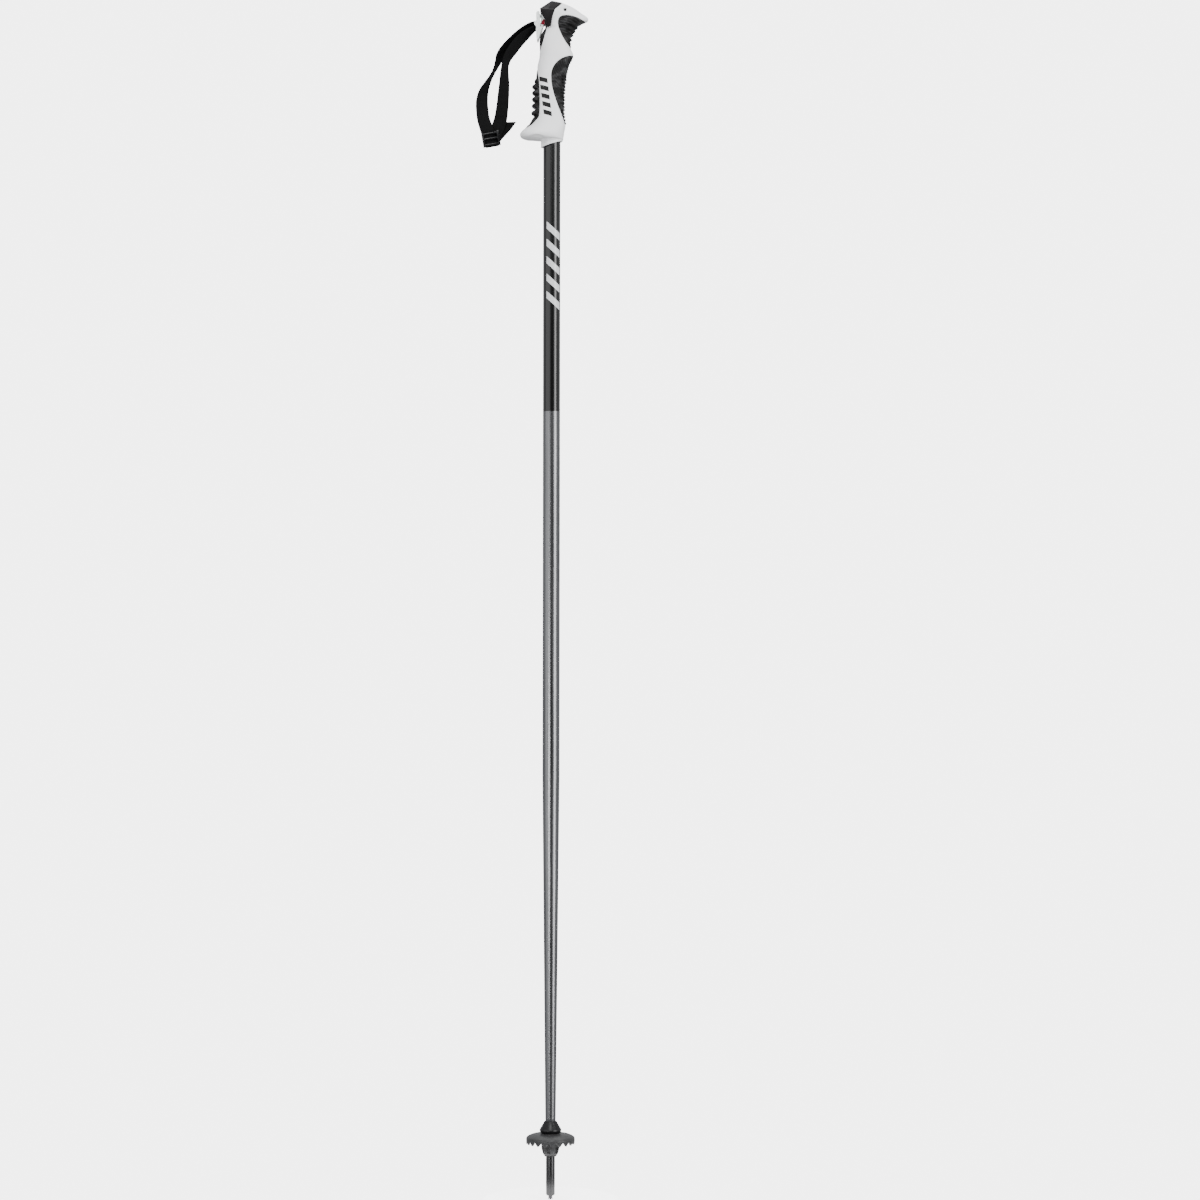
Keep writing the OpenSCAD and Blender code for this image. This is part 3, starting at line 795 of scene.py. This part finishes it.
def make_link(white, red):
    link_piece = prism("strap_link_body", closed_outline(
        [(-16.3, -20.6), (-16.4, -16.4), (-16.2, -13.6), (-15.2, -12.4), (-13.4, -12.4), (-12.8, -14.6),
         (-12.3, -20.6)], []), 9.4)
    parts = [
        prism("tool", closed_outline([(-16.4, -28.5), (-16.5, -33), (-16.2, -38), (-15.4, -41.6),
                                      (-14.2, -41.4), (-12.9, -37.4), (-11.2, -32.4), (-9.6, -28.5)], []),
              9.4),
        prism("tool", [(-16.3, -19.6), (-12.3, -19.6), (-12.3, -29.4), (-16.3, -29.4)], 9.4),
        prism("tool", [(-3.65, -18.2), (-9, -16.2), (-13.6, -14.6), (-13.6, -17.4), (-11.6, -18.4),
                       (-11.6, -28.6), (-12.6, -33.5), (-9.7, -29.6), (-8.7, -25.6), (-3.65, -24.6)], 6.5),
        cylinder_across("tool", HOOK_AXIS, 3.2, 6.5),
        cylinder_across("tool", LINK_AXIS, 3.3, 9.4)]
    for part in parts:
        cut(link_piece, part, "UNION")
    cut(link_piece, prism("tool", [(-8.9, -10), (0, -10), (0, -40), (-8.9, -40)], 4.1))
    cut(link_piece, prism("tool", [(-25, -17), (-11.6, -17), (-11.6, -31.5), (-25, -31.5)], 7.4))
    bevel(link_piece, 0.5, 3, 50)
    cut(link_piece, prism("tool", KEEPER, 30))
    finish_piece(link_piece, white, "pole", "link_white", "strap_link")
    keeper = prism("link_keeper_body", KEEPER, 6.5)
    bevel(keeper, 0.25, 2, 40)
    finish_piece(keeper, red, "pole", "keeper_red", "link_keeper")


KEEPER = [(-12.3, -24.6), (-8.9, -20.0), (-7.5, -20.4), (-7.5, -25.4), (-9.6, -26.2)]

# Routes of the webbing's middle line: x, y, z from the grip's top, turn of its width in degrees
WEB_W, WEB_T = 14.0, 1.5
REAR_RUN = [(-16.4, 0, -22.4, 0), (-22.6, 0.4, -26.3, -22), (-30.8, 1.4, -32.8, -38),
            (-40.0, 2, -41.3, -45), (-48.9, 2.4, -50.4, -42), (-53.9, 2.4, -57.2, -34),
            (-56.6, 2.2, -63.9, -20), (-59.9, 1.8, -71.9, -8), (-63.5, 1.2, -79.3, -8),
            (-67.6, 0.8, -87.0, -20), (-71.3, 0.6, -95.5, -42), (-72.9, 0.6, -104.3, -58),
            (-72.8, 0.7, -112.2, -66), (-71.6, 1.0, -122.5, -70), (-68.7, 1.6, -132.0, -80),
            (-65.8, 2.2, -139.6, -88), (-63.6, 2.3, -146.5, -90), (-62.7, 2.25, -149.9, -90)]
FRONT_RUN = [(-14.1, 0, -27.3, 0), (-21.2, -0.6, -31.0, -20), (-28.3, -1.4, -36.8, -36),
             (-34.6, -2, -43.2, -42), (-41.0, -2.6, -51.6, -42), (-46.2, -3, -59.8, -32),
             (-48.7, -3, -68.0, -28), (-49.4, -2.6, -77.2, -36), (-49.6, -1.8, -86.6, -46),
             (-50.4, -0.6, -97.0, -54), (-51.9, 2.2, -111.6, -62), (-54.0, 4.7, -124.2, -75),
             (-58.2, 5.3, -135.6, -86), (-61.6, 4.6, -144.0, -90)]
TAIL_RUN = [(-61.0, 6.6, -143.6, -90), (-57.6, 7.4, -139.0, -88), (-53.4, 8.3, -134.2, -84),
            (-49.4, 9.0, -129.8, -80), (-45.9, 9.6, -125.2, -78)]


def run_frames(run):
    """Points along a run, with the webbing's width and face directions at each."""
    pts = np.array(curve_points(run, steps=14))
    centres = pts[:, :3]
    ahead = np.gradient(centres, axis=0)
    ahead /= np.linalg.norm(ahead, axis=1)[:, None]
    across = np.stack([ahead[:, 2], np.zeros(len(ahead)), -ahead[:, 0]], axis=1)
    across /= np.linalg.norm(across, axis=1)[:, None]
    turn = np.radians(pts[:, 3])[:, None]
    width = np.cos(turn) * np.array([0, 1, 0]) + np.sin(turn) * across
    width -= ahead * np.sum(width * ahead, axis=1)[:, None]
    width /= np.linalg.norm(width, axis=1)[:, None]
    return centres, width, np.cross(ahead, width)


def web_section():
    """The webbing's cross-section: flat yarns with thin, rounded selvedges."""
    half, thick = WEB_W / 2, WEB_T / 2
    flat = np.linspace(-half + 0.75, half - 0.75, 17)
    top = [(u, thick * (0.93 + 0.07 * math.cos(u * 5.2))) for u in flat]
    edge = [(half - 0.75 + 0.75 * math.sin(a), thick * math.cos(a))
            for a in (math.radians(30), math.radians(60), math.radians(90))]
    right = top + edge
    return (right + [(u, -v) for u, v in reversed(edge[:2])] + [(u, -v) for u, v in reversed(top)]
            + [(-u, -v) for u, v in edge[:2]] + [(-half, 0.0)]
            + [(-u, v) for u, v in reversed(edge[:2])])


def ribbon(name, centres, width, face, mat, body, node, closed=False, curl=0.25, to_row=None, slant=0.0):
    outline = web_section()
    rows, cols = len(centres), len(outline)
    length = np.concatenate([[0], np.cumsum(np.linalg.norm(np.diff(centres, axis=0), axis=1))])
    verts, uvs = [], []
    for k in range(rows):
        wave = 0.06 * math.sin(length[k] * 0.9)
        ahead = np.cross(width[k], face[k]) * slant * (k / (rows - 1)) ** 1.5
        for u, v in outline:
            bow = curl * (1 - (2 * u / WEB_W) ** 2) - curl / 2 + wave
            p = centres[k] + width[k] * u + face[k] * (v + bow) + ahead * u
            verts.append(p)
            uvs.append((u / 0.85, length[k] / 0.95))
    verts = np.array(verts)
    verts = verts * MM + np.array([0, 0, TOP]) if to_row is None else to_row(verts)
    faces = grid_faces(rows, cols, closed_rows=closed)
    if not closed:
        faces += [tuple(range(cols)), tuple((rows - 1) * cols + j for j in range(cols))]
    obj = new_object(name, verts, faces, mat)
    layer = obj.data.uv_layers.new(name="weave")
    index = np.zeros(len(obj.data.loops), np.int32)
    obj.data.loops.foreach_get("vertex_index", index)
    layer.data.foreach_set("uv", np.array(uvs, np.float32)[index].ravel())
    smooth_by_angle(obj, 60)
    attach(obj, body)
    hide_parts(node)
    return obj, float(length[-1])


def web_piece(name, run, mat, body, node, slant=0.0):
    centres, width, face = run_frames(run)
    obj, length = ribbon(name, centres, width, face, mat, body, node, slant=slant)
    return obj


def make_strap(mat):
    # round the link's pin
    turns = np.linspace(0, 2 * math.pi, 49)[:-1]
    r = 2.33
    centres = np.stack([LINK_AXIS[0] + r * np.cos(turns), 0 * turns, LINK_AXIS[1] + r * np.sin(turns)], 1)
    face = np.stack([np.cos(turns), 0 * turns, np.sin(turns)], 1)
    width = np.tile([0.0, 1.0, 0.0], (len(turns), 1))
    loop, _ = ribbon("strap_loop_web", centres, width, face, mat, "strap", "strap_loop", True, 0)
    # round the buckle's lowest bar
    turns = np.linspace(-math.pi, 0, 25)
    r = 2.2
    centres = np.stack([0 * turns, r * np.cos(turns), BARS[2] + r * np.sin(turns)], 1)
    face = np.stack([0 * turns, np.cos(turns), np.sin(turns)], 1)
    width = np.tile([1.0, 0.0, 0.0], (len(turns), 1))
    turn, _ = ribbon("strap_turn_web", centres, width, face, mat, "strap", "strap_turn", False, 0,
                     on_buckle)
    web_piece("strap_rear_web", REAR_RUN, mat, "strap", "strap_rear")
    web_piece("strap_front_web", FRONT_RUN, mat, "strap", "strap_front")
    web_piece("strap_tail_web", TAIL_RUN, mat, "tail", "strap_tail", -0.75)


BUCKLE_AT, BUCKLE_TILT = (-63.6, -144.0), math.radians(-10)
BARS = (5.8, 0.4, -5.8)


def on_buckle(points):
    """From the buckle's own axes, in mm, to the row frame."""
    c, s = math.cos(BUCKLE_TILT), math.sin(BUCKLE_TILT)
    points = np.asarray(points, float)
    x = points[:, 0] * c + points[:, 2] * s + BUCKLE_AT[0]
    z = -points[:, 0] * s + points[:, 2] * c + BUCKLE_AT[1]
    return np.stack([x * MM, points[:, 1] * MM, TOP + z * MM], axis=1)


def box_mesh(name, low, high):
    (x0, y0, z0), (x1, y1, z1) = low, high
    verts = [(x, y, z) for x in (x0, x1) for y in (y0, y1) for z in (z0, z1)]
    faces = [(0, 1, 3, 2), (4, 6, 7, 5), (0, 4, 5, 1), (2, 3, 7, 6), (0, 2, 6, 4), (1, 5, 7, 3)]
    return new_object(name, on_buckle(verts), faces, None, smooth=False)


def make_buckle(mat):
    body = box_mesh("buckle_body", (-9.2, -1.8, -7.5), (-7.0, 4.2, 7.5))
    cut(body, box_mesh("tool", (7.0, -1.8, -7.5), (9.2, 4.2, 7.5)), "UNION")
    for height in BARS:
        ring = [(1.3 * math.cos(2 * math.pi * k / 32),
                 1.3 * math.sin(2 * math.pi * k / 32)) for k in range(32)]
        rings = [[(x, a, height + b) for a, b in ring] for x in (-8.9, 8.9)]
        verts, faces = capped_tube(rings)
        cut(body, new_object("tool", on_buckle(verts), faces, None), "UNION")
    bevel(body, 0.55, 3, 50)
    finish_piece(body, mat, "strap", "buckle_black", "buckle")


def rounded(profile, radius=0.3, steps=3):
    """Rounds the corners of a closed profile of (radius, height)."""
    out, n = [], len(profile)
    for k in range(n):
        before, here, after = (np.array(profile[j % n], float) for j in (k - 1, k, k + 1))
        a, b = before - here, after - here
        la, lb = np.linalg.norm(a), np.linalg.norm(b)
        reach = min(radius, la * 0.4, lb * 0.4)
        if here[0] < 0.05 or reach < 1e-4:
            out.append(tuple(here))
            continue
        p, q = here + a / la * reach, here + b / lb * reach
        for s in range(steps + 1):
            t = s / steps
            out.append(tuple((1 - t) ** 2 * p + 2 * t * (1 - t) * here + t * t * q))
    return out


def make_shaft(mat):
    profile = [(3.75, 4), (3.95, 4), (4.75, 5.2), (4.75, 43.8), (4.52, 44.2), (4.52, 76), (5.5, 84),
               (7.45, 280), (9, 442), (9, TOP_MM - 60), (8, TOP_MM - 60), (8, 442), (4.6, 84), (3.75, 76)]
    obj = lathe("shaft_tube", rounded(profile, 0.3), None, 128)
    finish_piece(obj, mat, "pole", "shaft", "shaft")


def make_sleeve(mat):
    profile = [(4.55, 44.8), (6.2, 44.8), (6.5, 45.3), (6.5, 69), (9.9, 69), (11.0, 70.4),
               (11.5, 72), (11.1, 73.3), (10.0, 75.0), (8.9, 76.9), (7.8, 78.7), (6.9, 80.4), (6.2, 81.5),
               (5.35, 81.5), (4.55, 76)]
    obj = lathe("stop_sleeve_body", rounded(profile, 0.35), None, 128)
    finish_piece(obj, mat, "pole", "sleeve_black", "stop_sleeve")


def make_basket(mat):
    profile = [(6.56, 46.4), (7.1, 46.2), (7.9, 47.7), (8.9, 50.9), (9.5, 53.6), (9.7, 58), (10.0, 61.6),
               (11.2, 63.4), (16.8, 64.6), (21.2, 63.4), (23.3, 61.4), (25.2, 61.4), (25.5, 62.4),
               (25.4, 63.8), (24.7, 65.0), (23.4, 65.9), (20.4, 67.2), (17.2, 67.9), (12, 68.1),
               (10.2, 68.15), (10.0, 68.6), (6.56, 68.6)]
    obj = lathe("basket_body", rounded(profile, 0.35), None, 144)
    for k in range(6):
        angle = math.radians(60 * k + 18)
        outline = closed_outline([(-1.9, 48.6), (1.5, 48.4), (1.9, 49.2), (1.9, 54.4), (1.4, 55.0),
                                  (-1.4, 55.0), (-1.9, 54.4)], [])
        rings = []
        for out in (7.4, 14):
            rings.append([((out * math.cos(angle) - t * math.sin(angle)) * MM,
                           (out * math.sin(angle) + t * math.cos(angle)) * MM, z * MM) for t, z in outline])
        verts, faces = capped_tube(rings)
        cut(obj, new_object("tool", verts, faces, None))
    for k in range(20):
        angle = 2 * math.pi * (k + 0.3) / 20
        rings = []
        for out, thick in ((23.5, 0.9), (23.9, 1.0), (25.0, 1.0), (25.35, 0.86)):
            tooth = [(-3.7 * thick, 62.2), (-3.2 * thick, 60.9), (-0.8 * thick, 58.1), (0, 57.7),
                     (0.8 * thick, 58.1), (3.2 * thick, 60.9), (3.7 * thick, 62.2)]
            rings.append([((out * math.cos(angle) - t * math.sin(angle)) * MM,
                           (out * math.sin(angle) + t * math.cos(angle)) * MM, z * MM) for t, z in tooth])
        verts, faces = capped_tube(rings)
        cut(obj, new_object("tool", verts, faces, None), "UNION")
    finish_piece(obj, mat, "snow_basket", "basket_grey", "basket", angle=40)


def dress_cad(slots, mats):
    """Finishes for the CAD nodes that are still shown."""
    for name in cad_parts:
        node = bpy.data.objects.get(name)
        if node is None or node.hide_render:
            continue
        node.data.materials.clear()
        node.data.materials.append(mats[slots[name]])


def main():
    make_camera()
    make_floor()
    make_studio()
    white = shell_finish()
    rubber = soft_rubber("grip_rubber_finish")
    head = moulded("head_black_finish", (0.0050, 0.0040, 0.0045), 0.42, grain=0.2, specular=0.14)
    link_white = moulded("link_white_finish", (0.78, 0.82, 0.80), 0.3, grain=0.1, vary=0.03, coat=0.3)
    red = moulded("keeper_red_finish", (0.22, 0.004, 0.02), 0.4, grain=0.1, specular=0.2,
                  worn=(0.3, 0.01, 0.03))
    buckle = moulded("buckle_black_finish", (0.0025, 0.0025, 0.003), 0.18, grain=0.05, specular=0.4)
    sleeve = moulded("sleeve_black_finish", (0.004, 0.004, 0.0045), 0.34, grain=0.15, specular=0.25)
    basket = moulded("basket_grey_finish", (0.032, 0.032, 0.033), 0.42, grain=0.2, specular=0.25)
    plug = moulded("plug_grey_finish", (0.02, 0.02, 0.022), 0.5, specular=0.3)
    metal = steel("steel_finish")
    web = webbing_finish()
    make_shaft(shaft_finish())
    shell = make_grip(white, rubber)
    make_head_cap(head, shell)
    make_link(link_white, red)
    make_strap(web)
    make_buckle(buckle)
    make_sleeve(sleeve)
    make_basket(basket)
    dress_cad({"shaft_plug": "plug", "cap_pin": "dark", "cap_spring": "metal", "hook_pin": "metal",
               "link_pin": "white", "tip_plug": "plug", "tip_insert": "metal"},
              {"plug": plug, "dark": sleeve, "metal": metal, "white": link_white})


main()
